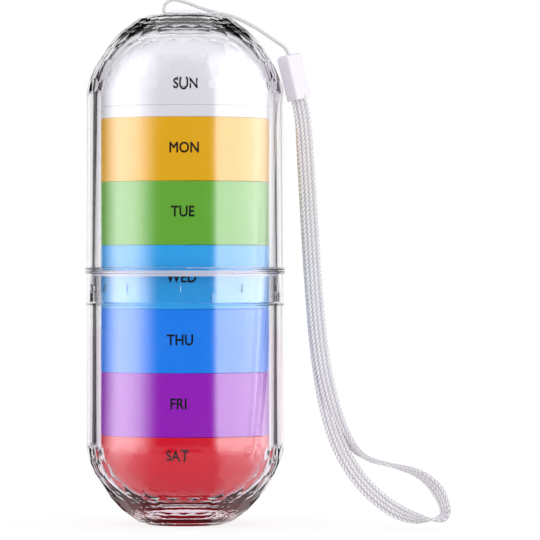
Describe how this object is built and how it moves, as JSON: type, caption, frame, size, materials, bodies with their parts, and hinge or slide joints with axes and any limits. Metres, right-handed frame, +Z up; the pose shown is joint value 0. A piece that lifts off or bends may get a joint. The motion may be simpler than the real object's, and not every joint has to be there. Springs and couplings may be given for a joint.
{
  "type": "weekly pill organizer",
  "caption": "Capsule-shaped clear travel container holding a stack of coloured round pill compartments, one for each weekday, with a wrist strap.",
  "frame": {"origin": "centre of the flat base of the lower shell", "axes": "+Z up the stack, +X to the right of the front view towards the wrist strap, +Y away from the viewer, so the weekday names face -Y"},
  "size_m": [0.1115, 0.0612, 0.1606],
  "materials": {
    "red_plastic": "smooth opaque moulded plastic, satin gloss",
    "purple_plastic": "smooth opaque moulded plastic, satin gloss",
    "blue_plastic": "smooth opaque moulded plastic, satin gloss",
    "sky_plastic": "smooth opaque moulded plastic, satin gloss",
    "green_plastic": "smooth opaque moulded plastic, satin gloss",
    "yellow_plastic": "smooth opaque moulded plastic, satin gloss",
    "white_plastic": "smooth opaque moulded plastic, satin gloss",
    "clear_plastic": "clear polished moulded plastic",
    "clear_rubber": "translucent soft silicone",
    "string_cord": "white braided string",
    "strap_webbing": "white woven flat webbing",
    "ferrule_plastic": "satin white moulded plastic"
  },
  "bodies": {
    "lower_shell": {"lower_shell": "clear_plastic"},
    "saturday_cup": {"saturday_cup": "red_plastic"},
    "friday_cup": {"friday_cup": "purple_plastic"},
    "thursday_cup": {"thursday_cup": "blue_plastic"},
    "wednesday_cup": {"wednesday_cup": "sky_plastic"},
    "tuesday_cup": {"tuesday_cup": "green_plastic"},
    "monday_cup": {"monday_cup": "yellow_plastic"},
    "sunday_tray": {"sunday_tray": "white_plastic"},
    "sunday_lid": {"sunday_lid": "white_plastic"},
    "seal_ring": {"seal_ring": "clear_rubber"},
    "cover": {"upper_shell": "clear_plastic", "hang_string": "string_cord", "strap_ferrule": "ferrule_plastic", "wrist_strap": "strap_webbing"}
  },
  "joints": [
    {"name": "saturday_lift", "type": "slide", "parent": "lower_shell", "child": "saturday_cup", "axis": [0, 0, 1], "range_m": [0, 0.08]},
    {"name": "friday_lift", "type": "slide", "parent": "saturday_cup", "child": "friday_cup", "axis": [0, 0, 1], "range_m": [0, 0.03]},
    {"name": "thursday_lift", "type": "slide", "parent": "friday_cup", "child": "thursday_cup", "axis": [0, 0, 1], "range_m": [0, 0.03]},
    {"name": "wednesday_lift", "type": "slide", "parent": "thursday_cup", "child": "wednesday_cup", "axis": [0, 0, 1], "range_m": [0, 0.03]},
    {"name": "tuesday_lift", "type": "slide", "parent": "wednesday_cup", "child": "tuesday_cup", "axis": [0, 0, 1], "range_m": [0, 0.03]},
    {"name": "monday_lift", "type": "slide", "parent": "tuesday_cup", "child": "monday_cup", "axis": [0, 0, 1], "range_m": [0, 0.03]},
    {"name": "sunday_tray_lift", "type": "slide", "parent": "monday_cup", "child": "sunday_tray", "axis": [0, 0, 1], "range_m": [0, 0.03]},
    {"name": "sunday_lid_lift", "type": "slide", "parent": "sunday_tray", "child": "sunday_lid", "axis": [0, 0, 1], "range_m": [0, 0.03]},
    {"name": "cover_lift", "type": "slide", "parent": "sunday_lid", "child": "seal_ring", "axis": [0, 0, 1], "range_m": [0, 0.09]},
    {"name": "cover_twist", "type": "hinge", "parent": "seal_ring", "child": "cover", "pos_m": [0, 0, 0.0764], "axis": [0, 0, 1], "range_deg": [-20, 0]}
  ]
}
